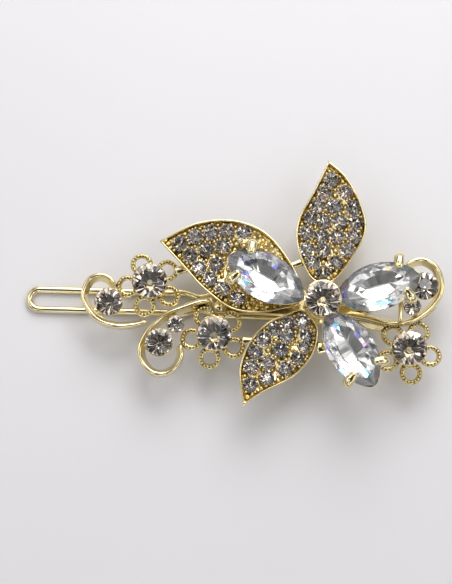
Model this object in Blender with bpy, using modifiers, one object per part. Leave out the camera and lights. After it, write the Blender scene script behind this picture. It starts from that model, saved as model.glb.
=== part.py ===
"""A side hair clip with a rhinestone flower spray, as an assembly of its separate pieces.

The clip's long axis is X and its back lies on Z = 0. A spring-wire tongue hinges on a pressed strip,
and everything else is soldered or glued above that strip.
"""

import math

import bmesh
import bpy
from mathutils import Matrix, Vector

MM = 0.001

# Spring wire tongue: a hairpin loop lying along X, its two legs at +Y and -Y.
WIRE_RADIUS = 0.6
TIP_X = -35.0
LEG_Y = 1.75
NECK_X = -5.9
NECK_Y = 1.1
REAR_LEG_Y = 1.95
RISE_START_X = 12.0
HINGE_X = 22.0
PINTLE_END_Y = 0.35

# Pressed strip: its rear end curls round the hinge, its front end drops between the tongue's legs.
STRIP_UNDERSIDE_Z = 3.2
STRIP_THICKNESS = 0.6
STRIP_HALF_WIDTH = 2.2
STRIP_FRONT_X = -3.0
STRIP_BAR_END_X = 20.4
KNUCKLE_HALF_WIDTH = 1.1
KNUCKLE_CLEARANCE = 0.2
CATCH_HALF_WIDTH = 0.4
CATCH_DROP_X = -4.6
CATCH_BOTTOM_Z = 0.3
# Points of the catch's bend, each ahead of its drop and below the strip's level.
CATCH_BEND = [(0, 0.6), (0.2, 0.15), (0.6, 0)]
KNUCKLE_WRAP = 290
HINGE_Z = STRIP_UNDERSIDE_Z - WIRE_RADIUS - KNUCKLE_CLEARANCE

# Heights of the layers above the strip.
SOLDER_GAP = 0.1
SPRAY_Z = 4.7
RING_Z = 5.1
PETAL_BASE_Z = 6.0
PETAL_FLOOR_Z = 6.9
PETAL_RIM_Z = 7.6
CRYSTAL_CUP_Z = 7.75
CRYSTAL_GIRDLE_Z = 9.8
FLORET_GIRDLE_Z = 8.0
SMALL_GIRDLE_Z = 7.0
CENTRE_GIRDLE_Z = 11.2

# Stones, by radius: the five sizes that the clip is set with.
FLORET_STONE_RADIUS = 3.0
SCROLL_STONE_RADIUS = 2.4
ACCENT_STONE_RADIUS = 1.5
PAVE_STONE_RADIUS = 1.08
CRYSTAL_LENGTH = 15.4
CRYSTAL_WIDTH = 7.9

# Claws of the large crystals' settings: where they cross the rim, along and across the stone.
CLAW_RADIUS = 0.5
CLAW_LENGTH = 2.0
CLAW_LEAN = 33
CLAW_ALONG = 4.6
CLAW_ACROSS = 3.1

# Turned post under the flower: place, radius of its body, height, and its radii and heights.
HUB = (14.8, -0.9)
HUB_RADIUS = 2.3
HUB_HEIGHT = 4.6
HUB_PROFILE = [(0, HUB_HEIGHT), (1.5, HUB_HEIGHT), (1.6, 3.8), (HUB_RADIUS, 3.4), (HUB_RADIUS, 1.4),
               (3.0, 1.2), (3.0, 0), (0, 0)]

# Each petal's outline: its pointed tip, then round its edge back to the tip.
PETAL_OUTLINES = {
    "left": [(-12.9, 9.1), (-7.4, 12.2), (-1.8, 13.2), (3.5, 12.0), (7.5, 8.7), (11.2, 2.6),
             (11.0, -1.0), (7.8, -2.2), (3.8, -2.9), (-0.5, -2.3), (-5.1, 0.9), (-9.0, 5.0)],
    "top": [(15.4, 24.1), (12.9, 18.6), (10.6, 14.0), (10.2, 10.1), (11.5, 5.6), (13.5, 2.8),
            (16.6, 2.9), (20.1, 7.5), (22.0, 12.0), (21.2, 16.5), (18.6, 21.2)],
    "lower": [(2.0, -18.9), (5.4, -16.5), (10.3, -13.7), (13.5, -9.8), (14.3, -5.6), (13.0, -3.2),
              (11.3, -2.0), (8.7, -3.0), (5.2, -4.9), (2.5, -8.4), (1.2, -13.0)],
}
PETAL_WALL_DRAFT = 0.5
PETAL_RIM_WIDTH = 0.4

# Rows of stones that each petal is paved with: the first, middle and last centre, and the count.
PAVE_ROWS = {
    "left": [((-9.4, 8.7), (-4.3, 10.8), (1.3, 11.0), 5), ((-7.6, 6.7), (-4.1, 2.8), (0.6, -0.4), 5),
             ((-4.9, 7.8), (-3.5, 8.2), (-2.1, 8.5), 2), ((-3.2, 5.3), (-3.2, 5.3), (-3.2, 5.3), 1)],
    "top": [((15.9, 20.7), (14.3, 17.3), (12.6, 13.9), 4), ((11.9, 11.3), (12.5, 7.2), (14.9, 4.4), 4),
            ((18.4, 18.6), (20.2, 12.1), (16.9, 6.2), 6), ((16.5, 16.1), (17.5, 13.5), (17.1, 10.8), 3),
            ((14.9, 13.4), (14.5, 10.8), (14.9, 8.3), 3)],
    "lower": [((7.0, -5.6), (3.9, -9.6), (3.1, -15.2), 5), ((11.6, -4.2), (11.5, -9.6), (5.9, -14.0), 6),
              ((9.2, -4.6), (8.6, -8.0), (5.9, -11.4), 4)],
}

# Large crystals: centre, and the direction of the end that points away from the hub.
CRYSTALS = {"left": ((5.2, 2.8), 151), "right": ((24.1, 1.7), 17), "lower": ((19.75, -9.2), -57)}

# Florets: centre, and the direction of the first of five rings.
FLORETS = {"upper": ((-14.3, 2.0), 42), "lower": ((-3.2, -6.7), 44), "right": ((29.5, -8.3), 62)}
FLORET_RINGS = 5
RING_ORBIT = 3.8
RING_RADIUS = 1.4
RING_WIRE_RADIUS = 0.3
FLORET_DISC_RADIUS = 2.7
FLORET_DISC_THICKNESS = 0.5

# Scrolls: points on the ridge of each curled band. The open side of the curl is on its left.
SCROLL_PATHS = {
    "left": [(-20.1, 1.5), (-21.2, 2.8), (-22.9, 3.3), (-24.7, 2.4), (-25.6, 0.0), (-24.8, -2.4),
             (-22.7, -4.6), (-19.6, -5.5), (-16.5, -5.2), (-14.5, -4.5)],
    "lower": [(-3.9, -0.6), (-5.9, -0.95), (-8.4, -1.9), (-11.4, -3.2), (-14.0, -5.6), (-15.5, -8.4),
              (-15.4, -10.9), (-13.7, -13.1), (-11.4, -13.5), (-9.4, -12.2), (-8.5, -10.2), (-8.9, -8.3)],
    "right": [(18.8, -2.3), (22.6, -2.9), (26.0, -3.6), (29.4, -3.4), (32.4, -1.8), (34.6, 1.0),
              (35.1, 3.6), (34.2, 6.2), (32.0, 7.6), (29.9, 7.2), (28.9, 6.3)],
}
BAND_SECTION = [(-0.25, 0.0), (0.55, 0.0), (0.55, 0.5), (0.25, 1.35), (0.1, 1.5), (-0.1, 1.5), (-0.25, 1.35)]

# Small stones set in the scrolls: centre and radius.
SCROLL_STONES = {
    "left": ((-21.1, -1.6), SCROLL_STONE_RADIUS),
    "lower_large": ((-12.4, -8.3), SCROLL_STONE_RADIUS),
    "lower_small": ((-9.7, -5.1), ACCENT_STONE_RADIUS),
    "right_large": ((32.1, 2.7), SCROLL_STONE_RADIUS - 0.1),
    "right_small": ((30.0, -0.9), ACCENT_STONE_RADIUS),
}

# Straight soldered bars: two ends, width, and bottom and top height.
BARS = {
    "branch_floret_to_left_petal": ((-9.7, 4.5), (-7.4, 5.3), 1.4, 4.9, 5.85),
    "branch_floret_to_flower": ((-2.6, -1.7), (-1.4, 0.4), 1.5, 4.9, 5.85),
    "branch_floret_to_lower_petal": ((1.9, -7.3), (3.6, -7.3), 1.2, 4.9, 5.85),
    "bridge_left_to_top_petal": ((9.6, 5.5), (10.9, 6.1), 1.2, 6.3, 7.3),
    "arm_right_crystal": ((17.8, 0.2), (24.6, 1.9), 2.4, 6.4, CRYSTAL_CUP_Z - SOLDER_GAP),
    "arm_lower_crystal": ((16.5, -3.6), (20.0, -9.2), 2.4, 6.4, CRYSTAL_CUP_Z - SOLDER_GAP),
    "lug_lower_petal": ((14.5, -8.5), (16.9, -8.2), 1.8, 6.3, 7.3),
    "strut_right_crystal": ((28.05, -3.2), (28.05, -0.6), 0.7, 6.4, 7.4),
}

# The thin cast plate beside the right scroll's stem: its outline, and its bottom and top height.
STEM_WEB = [(20.5, -3.1), (23.0, -3.5), (25.4, -3.95), (25.0, -4.9), (24.3, -4.9), (23.2, -4.75),
            (22.2, -4.4)]
STEM_WEB_HEIGHTS = (4.8, 5.4)

GOLD = (0.83, 0.68, 0.36)


def clear_scene():
    for obj in list(bpy.data.objects):
        bpy.data.objects.remove(obj, do_unlink=True)


def new_collection(name):
    collection = bpy.data.collections.new(name)
    bpy.context.scene.collection.children.link(collection)
    return collection


def metal(name, colour=GOLD, roughness=0.2):
    material = bpy.data.materials.new(name)
    material.use_nodes = True
    shader = material.node_tree.nodes["Principled BSDF"]
    shader.inputs["Base Color"].default_value = (*colour, 1.0)
    shader.inputs["Metallic"].default_value = 1.0
    shader.inputs["Roughness"].default_value = roughness
    return material


def crystal(name, colour, transmission):
    material = bpy.data.materials.new(name)
    material.use_nodes = True
    shader = material.node_tree.nodes["Principled BSDF"]
    shader.inputs["Base Color"].default_value = (*colour, 1.0)
    shader.inputs["Metallic"].default_value = 0.0
    shader.inputs["Roughness"].default_value = 0.03
    shader.inputs["Transmission Weight"].default_value = transmission
    return material


def add(name, data, collection, material, location=(0, 0, 0)):
    """Links a new object, whose place is given in millimetres."""
    obj = bpy.data.objects.new(name, data)
    obj.location = Vector(location) * MM
    collection.objects.link(obj)
    data.materials.append(material)
    return obj


def mesh_from(bm, name):
    bmesh.ops.recalc_face_normals(bm, faces=bm.faces)
    mesh = bpy.data.meshes.new(name)
    bm.to_mesh(mesh)
    bm.free()
    return mesh


def smooth_path(points, steps):
    """Points on a Catmull-Rom curve through the given ones, with steps from each to the next."""
    padded = [points[0], *points, points[-1]]
    path = []
    for before, start, end, after in zip(padded, padded[1:], padded[2:], padded[3:]):
        for step in range(steps):
            t = step / steps
            path.append(tuple(
                0.5 * (2 * b + (c - a) * t + (2 * a - 5 * b + 4 * c - d) * t**2
                       + (3 * b - a - 3 * c + d) * t**3)
                for a, b, c, d in zip(before, start, end, after)
            ))
    path.append(tuple(points[-1]))
    return path


def inset_outline(outline, distance):
    """The outline moved inwards by a distance, with mitred corners. It runs anticlockwise."""
    moved = []
    for before, here, after in zip(outline[-1:] + outline[:-1], outline, outline[1:] + outline[:1]):
        arriving = (Vector(here) - Vector(before)).normalized().orthogonal()
        leaving = (Vector(after) - Vector(here)).normalized().orthogonal()
        middle = (arriving + leaving).normalized()
        moved.append(Vector(here) + middle * distance / max(0.5, middle.dot(leaving)))
    return moved


def layered_solid(levels):
    """A solid extruded from level to level, each an outline and a height in millimetres."""
    bm = bmesh.new()
    outline, height = levels[0]
    corners = [bm.verts.new((x * MM, y * MM, height * MM)) for x, y in outline]
    base = face = bm.faces.new(corners)
    for outline, height in levels[1:]:
        grown = bmesh.ops.extrude_face_region(bm, geom=[face])["geom"]
        if face is not base:
            bmesh.ops.delete(bm, geom=[face], context="FACES_ONLY")
        face = next(item for item in grown if isinstance(item, bmesh.types.BMFace))
        corners = raised_from(corners, face)
        for vert, (x, y) in zip(corners, outline):
            vert.co = (x * MM, y * MM, height * MM)
    return bm


def raised_from(corners, face):
    """The vertex of the extruded face that stands over each corner below it."""
    raised = set(face.verts)
    above = []
    for corner in corners:
        ends = [edge.other_vert(corner) for edge in corner.link_edges]
        above.append(next(vert for vert in ends if vert in raised))
    return above


def petal_outline(side):
    """The petal's edge as a smooth curve from its tip back to its tip, run anticlockwise."""
    points = PETAL_OUTLINES[side]
    outline = smooth_path([*points, points[0]], 2)[:-1]
    area = sum(ax * by - bx * ay for (ax, ay), (bx, by) in zip(outline, outline[1:] + outline[:1]))
    return outline if area > 0 else [outline[0], *reversed(outline[1:])]


def crystal_outline(scale, arc_points=9):
    """Two arcs meeting in blunt points, as a navette stone is cut, run anticlockwise."""
    half, rise = scale * CRYSTAL_LENGTH / 2, scale * CRYSTAL_WIDTH / 2
    radius = (half**2 + rise**2) / (2 * rise)
    swing = math.asin(half / radius) * 0.96
    angles = [swing * (2 * step / (arc_points - 1) - 1) for step in range(arc_points)]
    lower = [(radius * math.sin(a), radius - rise - radius * math.cos(a)) for a in angles]
    return lower + [(-x, -y) for x, y in lower]


def placed(outline, centre, angle):
    turn = Matrix.Rotation(math.radians(angle), 2)
    return [tuple(turn @ Vector(point) + Vector(centre)) for point in outline]


def turned(name, profile, collection, material, location, steps):
    """A turned piece. Its profile of radii and heights starts and ends on the axis."""
    mesh = bpy.data.meshes.new(name)
    points = [(radius * MM, 0, height * MM) for radius, height in profile]
    mesh.from_pydata(points, [(i, i + 1) for i in range(len(points) - 1)], [])
    obj = add(name, mesh, collection, material, location)
    screw = obj.modifiers.new("turn", "SCREW")
    screw.axis = "Z"
    screw.steps = steps
    screw.render_steps = steps
    screw.use_merge_vertices = True
    screw.merge_threshold = 1e-6
    screw.use_smooth_shade = True
    return obj


def round_stone(name, collection, material, centre, girdle_z, radius, steps=16):
    """A chaton: table, crown, thin girdle and pointed pavilion."""
    profile = [(0, 0.42 * radius), (0.55 * radius, 0.42 * radius), (radius, 0.1), (radius, 0),
               (0, -0.72 * radius)]
    return turned(name, profile, collection, material, (*centre, girdle_z), steps)


def stone_cup(name, collection, material, centre, base_z, girdle_z, radius, steps=16):
    """The cup below a chaton. Its rim stops under the stone's widest part."""
    rim_drop = 0.4
    wall = 0.25
    floor = 0.2
    rim_z = girdle_z - base_z - rim_drop
    rim_radius = radius - 0.1
    profile = [(0, floor), (0.2 * radius, floor), (rim_radius - wall, rim_z), (rim_radius, rim_z),
               (0.55 * radius, 0), (0, 0)]
    return turned(name, profile, collection, material, (*centre, base_z), steps)


def unite(target, others, tools):
    """Joins helper meshes to the target with Booleans, and keeps them out of the model."""
    for other in others:
        other.hide_render = True
        other.display_type = "WIRE"
        for holder in list(other.users_collection):
            holder.objects.unlink(other)
        tools.objects.link(other)
        union = target.modifiers.new("join", "BOOLEAN")
        union.operation = "UNION"
        union.object = other


def bar(name, collection, material, start, end, width, bottom, top):
    """A straight bar lying flat, with eased edges."""
    along = Vector(end) - Vector(start)
    middle = (Vector(start) + Vector(end)) / 2
    bm = bmesh.new()
    bmesh.ops.create_cube(bm, size=1.0)
    bmesh.ops.scale(bm, vec=(along.length * MM, width * MM, (top - bottom) * MM), verts=bm.verts)
    obj = add(name, mesh_from(bm, name), collection, material, (*middle, (bottom + top) / 2))
    obj.rotation_euler.z = math.atan2(along.y, along.x)
    edges = obj.modifiers.new("eased_edges", "BEVEL")
    edges.width = 0.15 * MM
    edges.segments = 1
    return obj


def tongue_leg():
    """Half of the tongue's route, from its pintle to its tip, for the leg at +Y."""
    bend = 0.7
    corner = [
        (HINGE_X - bend + bend * math.cos(a), REAR_LEG_Y - bend + bend * math.sin(a))
        for a in (0.0, math.pi / 6, math.pi / 3, math.pi / 2)
    ]
    route = [(HINGE_X, PINTLE_END_Y, HINGE_Z)]
    route += [(x, y, HINGE_Z) for x, y in corner]
    low = WIRE_RADIUS
    route += [(17.5, REAR_LEG_Y, 1.3), (14.5, REAR_LEG_Y, 0.8), (RISE_START_X, REAR_LEG_Y, low)]
    legs = [(5.0, REAR_LEG_Y), (-1.0, 1.9), (-3.0, 1.75), (-4.6, 1.35), (NECK_X, NECK_Y), (-7.2, 1.4),
            (-8.8, 1.85), (-11.5, LEG_Y), (-22.0, LEG_Y)]
    route += [(x, y, low) for x, y in legs]
    tip_turns = 6
    for step in range(tip_turns):
        angle = math.pi / 2 * (1 + step / tip_turns)
        route.append((TIP_X + LEG_Y + LEG_Y * math.cos(angle), LEG_Y * math.sin(angle), low))
    return route


def tongue(collection, material):
    half = tongue_leg()
    route = half + [(TIP_X, 0, WIRE_RADIUS)] + [(x, -y, z) for x, y, z in reversed(half)]
    curve = bpy.data.curves.new("tongue_wire", "CURVE")
    curve.dimensions = "3D"
    curve.bevel_depth = WIRE_RADIUS * MM
    curve.bevel_resolution = 2
    curve.use_fill_caps = True
    spline = curve.splines.new("POLY")
    spline.points.add(len(route) - 1)
    hinge = Vector((HINGE_X, 0, HINGE_Z))
    for point, place in zip(spline.points, route):
        point.co = (*((Vector(place) - hinge) * MM), 1)
    return add("tongue_wire", curve, collection, material, hinge)


def strip(collection, material):
    """The pressed strip, cut to its plan from one bent sheet."""
    middle = STRIP_THICKNESS / 2
    level = STRIP_UNDERSIDE_Z + middle
    curl_radius = level - HINGE_Z
    side = [(CATCH_DROP_X, CATCH_BOTTOM_Z)]
    side += [(CATCH_DROP_X + ahead, level - drop) for ahead, drop in CATCH_BEND]
    side += [(STRIP_FRONT_X, level), (STRIP_BAR_END_X, level)]
    curl_turns = 12
    for step in range(curl_turns + 1):
        angle = math.radians(90 - KNUCKLE_WRAP * step / curl_turns)
        side.append((HINGE_X + curl_radius * math.cos(angle), HINGE_Z + curl_radius * math.sin(angle)))
    bm = bmesh.new()
    blank = 2 * STRIP_HALF_WIDTH + 1.6
    verts = [bm.verts.new((x * MM, -blank / 2 * MM, z * MM)) for x, z in side]
    edges = [bm.edges.new(pair) for pair in zip(verts, verts[1:])]
    swept = bmesh.ops.extrude_edge_only(bm, edges=edges)["geom"]
    far_edge = [item for item in swept if isinstance(item, bmesh.types.BMVert)]
    bmesh.ops.translate(bm, vec=(0, blank * MM, 0), verts=far_edge)
    obj = add("clip_strip", mesh_from(bm, "clip_strip"), collection, material)
    sheet = obj.modifiers.new("sheet", "SOLIDIFY")
    sheet.thickness = STRIP_THICKNESS * MM
    sheet.offset = 0
    sheet.use_even_offset = True
    return obj


def strip_plan(tools, material):
    """The upright prism that the strip's plan is cut with."""
    front = CATCH_DROP_X - 1
    rear = HINGE_X + 3
    shoulder = 0.8
    upper = [(front, CATCH_HALF_WIDTH), (STRIP_FRONT_X - shoulder, CATCH_HALF_WIDTH),
             (STRIP_FRONT_X, STRIP_HALF_WIDTH), (STRIP_BAR_END_X - shoulder, STRIP_HALF_WIDTH),
             (STRIP_BAR_END_X, KNUCKLE_HALF_WIDTH), (rear, KNUCKLE_HALF_WIDTH)]
    outline = [(x, -y) for x, y in upper] + list(reversed(upper))
    prism = layered_solid([(outline, -1), (outline, 5)])
    plan = add("strip_plan", mesh_from(prism, "strip_plan"), tools, material)
    plan.hide_render = True
    plan.display_type = "WIRE"
    return plan


def floret_rosette(name, collection, tools, material, centre, first_angle):
    """A disc with five rings round it, as one casting."""
    radius = FLORET_DISC_RADIUS * MM
    bm = bmesh.new()
    bmesh.ops.create_cone(bm, cap_ends=True, segments=20, radius1=radius, radius2=radius,
                          depth=FLORET_DISC_THICKNESS * MM)
    rosette = add(name, mesh_from(bm, name), collection, material, (*centre, RING_Z))
    rings = []
    for index in range(FLORET_RINGS):
        angle = math.radians(first_angle + 360 / FLORET_RINGS * index)
        away = Vector((math.cos(angle), math.sin(angle), 0)) * RING_ORBIT
        bpy.ops.mesh.primitive_torus_add(
            major_segments=16, minor_segments=6, major_radius=RING_RADIUS * MM,
            minor_radius=RING_WIRE_RADIUS * MM, location=(Vector((*centre, RING_Z)) + away) * MM)
        ring = bpy.context.object
        ring.name = f"{name}_ring_{index + 1}"
        rings.append(ring)
    unite(rosette, rings, tools)
    return rosette


def scroll_band(name, collection, tools, material, path):
    """A cast band swept along its curl, with a ridge outside and a shelf inside."""
    section = bpy.data.curves.new(f"{name}_section", "CURVE")
    section.dimensions = "2D"
    outline = section.splines.new("POLY")
    outline.points.add(len(BAND_SECTION) - 1)
    for point, (across, up) in zip(outline.points, BAND_SECTION):
        point.co = (-across * MM, up * MM, 0, 1)
    outline.use_cyclic_u = True
    guide = add(f"{name}_section", section, tools, material)
    guide.hide_render = True

    curve = bpy.data.curves.new(name, "CURVE")
    curve.dimensions = "2D"
    curve.fill_mode = "NONE"
    curve.bevel_mode = "OBJECT"
    curve.bevel_object = guide
    curve.use_fill_caps = True
    spline = curve.splines.new("POLY")
    places = smooth_path(path, 3)
    spline.points.add(len(places) - 1)
    for point, (x, y) in zip(spline.points, places):
        point.co = (x * MM, y * MM, 0, 1)
    return add(name, curve, collection, material, (0, 0, SPRAY_Z))


def pave_centres(side):
    """Stone centres along each row, evenly spread on the parabola through its three points."""
    centres = []
    for first, middle, last, count in PAVE_ROWS[side]:
        for index in range(count):
            t = index / max(1, count - 1)
            weights = ((1 - t) * (1 - 2 * t), 4 * t * (1 - t), t * (2 * t - 1))
            centres.append(tuple(sum(w * p[axis] for w, p in zip(weights, (first, middle, last)))
                                 for axis in (0, 1)))
    return centres


def petal_tray(side, collection, material):
    insets = [(PETAL_WALL_DRAFT, PETAL_BASE_Z), (0, PETAL_RIM_Z), (PETAL_RIM_WIDTH, PETAL_RIM_Z),
              (PETAL_RIM_WIDTH + 0.1, PETAL_FLOOR_Z)]
    outline = petal_outline(side)
    levels = [(inset_outline(outline, inset), height) for inset, height in insets]
    name = f"petal_{side}"
    return add(name, mesh_from(layered_solid(levels), name), collection, material)


def petal_stones(side, collection, tools, material):
    """The petal's stones, held together by the bed of glue that they are set in."""
    name = f"petal_{side}_stones"
    bed_inset = PETAL_RIM_WIDTH + 0.3
    bed_z = PETAL_FLOOR_Z + 0.05
    bed_top = bed_z + 0.2
    outline = inset_outline(petal_outline(side), bed_inset)
    bed = layered_solid([(outline, bed_z), (outline, bed_top)])
    stones = add(name, mesh_from(bed, name), collection, material)
    facets = 8
    low, high = bed_z + 0.05, PETAL_RIM_Z + 0.3
    bm = bmesh.new()
    for x, y in pave_centres(side):
        place = Matrix.Translation(Vector((x, y, (low + high) / 2)) * MM)
        bmesh.ops.create_cone(bm, cap_ends=True, segments=facets, radius1=PAVE_STONE_RADIUS * MM,
                              radius2=0.7 * MM, depth=(high - low) * MM, matrix=place)
    unite(stones, [add(f"{name}_crowns", mesh_from(bm, name), tools, material)], tools)
    return stones


def crystal_stone(side, collection, material):
    girdle = CRYSTAL_GIRDLE_Z
    scales = [(0.2, girdle - 1.75), (0.98, girdle), (0.98, girdle + 0.15), (0.66, girdle + 1.2)]
    levels = [(placed(crystal_outline(scale), *CRYSTALS[side]), height) for scale, height in scales]
    name = f"crystal_{side}"
    return add(name, mesh_from(layered_solid(levels), name), collection, material)


def crystal_setting(side, collection, tools, material):
    """A navette cup with two claws at the end that points away from the hub."""
    centre, angle = CRYSTALS[side]
    rim_z = CRYSTAL_GIRDLE_Z - 0.45
    scales = [(0.45, CRYSTAL_CUP_Z), (0.97, rim_z), (0.86, rim_z), (0.35, CRYSTAL_CUP_Z + 0.15)]
    levels = [(placed(crystal_outline(scale), centre, angle), height) for scale, height in scales]
    name = f"crystal_{side}_setting"
    setting = add(name, mesh_from(layered_solid(levels), name), collection, material)
    claws = []
    for hand in (-1, 1):
        bm = bmesh.new()
        bmesh.ops.create_cone(bm, cap_ends=True, segments=8, radius1=CLAW_RADIUS * MM,
                              radius2=CLAW_RADIUS * MM, depth=CLAW_LENGTH * MM)
        claw = add(f"{name}_claw", mesh_from(bm, name), tools, material)
        place = placed([(CLAW_ALONG, CLAW_ACROSS * hand)], centre, angle)[0]
        claw.location = Vector((*place, rim_z)) * MM
        claw.rotation_euler = (-hand * math.radians(CLAW_LEAN), 0, math.radians(angle))
        claws.append(claw)
    unite(setting, claws, tools)
    return setting


def hub_post(collection, material):
    """The turned post that the flower stands on."""
    base_z = STRIP_UNDERSIDE_Z + STRIP_THICKNESS + SOLDER_GAP
    return turned("flower_hub", HUB_PROFILE, collection, material, (*HUB, base_z), 20)


def centre_on_origin(parts, tools):
    """Moves the clip sideways, so that the middle of its box is over the origin and its back on Z = 0."""
    bpy.context.view_layer.update()
    graph = bpy.context.evaluated_depsgraph_get()
    places = []
    for obj in parts.objects:
        evaluated = obj.evaluated_get(graph)
        places += [evaluated.matrix_world @ vert.co for vert in evaluated.to_mesh().vertices]
        evaluated.to_mesh_clear()
    middle = [(min(p[axis] for p in places) + max(p[axis] for p in places)) / 2 for axis in (0, 1)]
    for obj in [*parts.objects, *tools.objects]:
        obj.location -= Vector((*middle, 0))


def build():
    clear_scene()
    parts = new_collection("rhinestone_hair_clip")
    tools = new_collection("cutters")
    gold = metal("pale_gold")
    wire = metal("spring_wire", roughness=0.15)
    clear = crystal("clear_crystal", (0.95, 0.96, 1.0), 0.9)
    foiled = crystal("foiled_chaton", (0.62, 0.6, 0.62), 0.3)

    tongue(parts, wire)
    base = strip(parts, metal("strip_metal", roughness=0.3))
    cut = base.modifiers.new("plan", "BOOLEAN")
    cut.operation = "INTERSECT"
    cut.object = strip_plan(tools, gold)
    hub_post(parts, metal("hub_metal"))

    for side in PETAL_OUTLINES:
        petal_tray(side, parts, metal(f"petal_{side}_metal"))
        petal_stones(side, parts, tools, foiled.copy())
    for side in CRYSTALS:
        crystal_setting(side, parts, tools, metal(f"crystal_{side}_metal"))
        crystal_stone(side, parts, clear.copy())
    cup_base_z = STRIP_UNDERSIDE_Z + STRIP_THICKNESS + HUB_HEIGHT + 2 * SOLDER_GAP
    radius = FLORET_STONE_RADIUS
    stone_cup("centre_cup", parts, metal("centre_metal"), HUB, cup_base_z, CENTRE_GIRDLE_Z, radius)
    round_stone("centre_stone", parts, foiled.copy(), HUB, CENTRE_GIRDLE_Z, radius)

    for name, (centre, first_angle) in FLORETS.items():
        finish = metal(f"floret_{name}_metal")
        floret_rosette(f"floret_{name}_rosette", parts, tools, finish, centre, first_angle)
        base_z = RING_Z + RING_WIRE_RADIUS + SOLDER_GAP / 2
        stone_cup(f"floret_{name}_cup", parts, gold.copy(), centre, base_z, FLORET_GIRDLE_Z, radius)
        round_stone(f"floret_{name}_stone", parts, foiled.copy(), centre, FLORET_GIRDLE_Z, radius)
    for name, path in SCROLL_PATHS.items():
        scroll_band(f"scroll_{name}", parts, tools, metal(f"scroll_{name}_metal"), path)
    for name, (centre, radius) in SCROLL_STONES.items():
        stone_cup(f"scroll_{name}_cup", parts, gold.copy(), centre, SPRAY_Z, SMALL_GIRDLE_Z, radius)
        round_stone(f"scroll_{name}_stone", parts, foiled.copy(), centre, SMALL_GIRDLE_Z, radius)
    for name, (start, end, width, bottom, top) in BARS.items():
        bar(name, parts, gold.copy(), start, end, width, bottom, top)
    web = layered_solid([(STEM_WEB, height) for height in STEM_WEB_HEIGHTS])
    add("web_right_scroll", mesh_from(web, "web_right_scroll"), parts, gold.copy())
    centre_on_origin(parts, tools)


build()
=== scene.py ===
"""The finished look of the rhinestone hair clip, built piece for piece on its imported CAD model.

Shapes are laid out in millimetres along the clip: X runs from the hinge end (+) to the tongue's tip (-),
and the clip's back lies on Z = 0. Each finished piece stands for the CAD node of the same real part.
"""

import math
import random

import bmesh
import bpy
from mathutils import Euler, Matrix, Vector


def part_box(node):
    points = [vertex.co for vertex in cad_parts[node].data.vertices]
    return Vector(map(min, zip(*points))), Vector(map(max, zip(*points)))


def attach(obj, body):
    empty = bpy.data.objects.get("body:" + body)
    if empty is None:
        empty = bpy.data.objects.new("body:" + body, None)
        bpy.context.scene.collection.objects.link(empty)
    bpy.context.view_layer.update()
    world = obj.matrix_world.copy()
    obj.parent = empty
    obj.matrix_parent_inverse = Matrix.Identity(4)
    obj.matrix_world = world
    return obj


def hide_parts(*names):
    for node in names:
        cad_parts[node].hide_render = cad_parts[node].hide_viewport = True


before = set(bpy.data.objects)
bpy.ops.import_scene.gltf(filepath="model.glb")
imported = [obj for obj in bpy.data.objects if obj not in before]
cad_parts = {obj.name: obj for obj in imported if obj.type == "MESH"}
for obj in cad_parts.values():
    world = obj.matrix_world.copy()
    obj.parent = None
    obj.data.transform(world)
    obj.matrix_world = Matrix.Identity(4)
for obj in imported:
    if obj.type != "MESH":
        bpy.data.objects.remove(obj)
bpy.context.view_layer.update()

MM = 0.001
UP = Vector((0, 0, 1))

# The clip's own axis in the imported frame, read off its wire tongue, whose tip is 35.6 mm along it.
TIP_TO_ORIGIN = 35.6
wire_low, wire_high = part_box("tongue_wire")
SHIFT = Vector((wire_low.x / MM + TIP_TO_ORIGIN, (wire_low.y + wire_high.y) / 2 / MM, 0))

# Wire tongue and pressed strip.
WIRE_RADIUS = 0.6
TIP_X = -35.0
LEG_Y = 1.75
REAR_LEG_Y = 1.95
HINGE_X = 22.0
HINGE_Z = 2.4
PINTLE_END_Y = 0.35
STRIP_LEVEL = 3.5
STRIP_THICKNESS = 0.6
STRIP_WIDTHS = [(-4.6, 0.4), (-3.8, 0.4), (-3.0, 2.2), (19.6, 2.2), (20.4, 1.1), (30.0, 1.1)]
CATCH_X = -4.6
CATCH_BOTTOM_Z = 0.35

# Heights of the layers above the strip.
SPRAY_Z = 4.7
RING_Z = 5.1
PETAL_BASE_Z = 6.0
PETAL_FLOOR_Z = 6.45
PETAL_RIM_Z = 7.6
PAVE_GIRDLE_Z = 7.5
CRYSTAL_CUP_Z = 7.75
CRYSTAL_GIRDLE_Z = 9.8
FLORET_GIRDLE_Z = 8.0
SMALL_GIRDLE_Z = 7.0
CENTRE_GIRDLE_Z = 11.2

FLORET_STONE_RADIUS = 3.03
PAVE_STONE_RADIUS = 1.27
CRYSTAL_LENGTH = 15.4
CRYSTAL_WIDTH = 8.1
HUB = (14.8, -0.9)
HUB_RADIUS = 2.3
HUB_BASE_Z = 3.9
CENTRE_CUP_Z = 8.6

PETAL_OUTLINES = {
    "left": [(-12.9, 9.1), (-7.4, 12.2), (-1.8, 13.2), (3.5, 12.0), (7.5, 8.7), (11.2, 2.6),
             (11.0, -1.0), (7.8, -2.2), (3.8, -2.9), (-0.5, -2.3), (-5.1, 0.9), (-9.0, 5.0)],
    "top": [(15.4, 24.1), (12.9, 18.6), (10.6, 14.0), (10.2, 10.1), (11.5, 5.6), (13.5, 2.8),
            (16.6, 2.9), (20.1, 7.5), (22.0, 12.0), (21.2, 16.5), (18.6, 21.2)],
    "lower": [(2.0, -18.9), (5.4, -16.5), (10.3, -13.7), (13.5, -9.8), (14.3, -5.6), (13.0, -3.2),
              (11.3, -2.0), (8.7, -3.0), (5.2, -4.9), (2.5, -8.4), (1.2, -13.0)],
}

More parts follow.
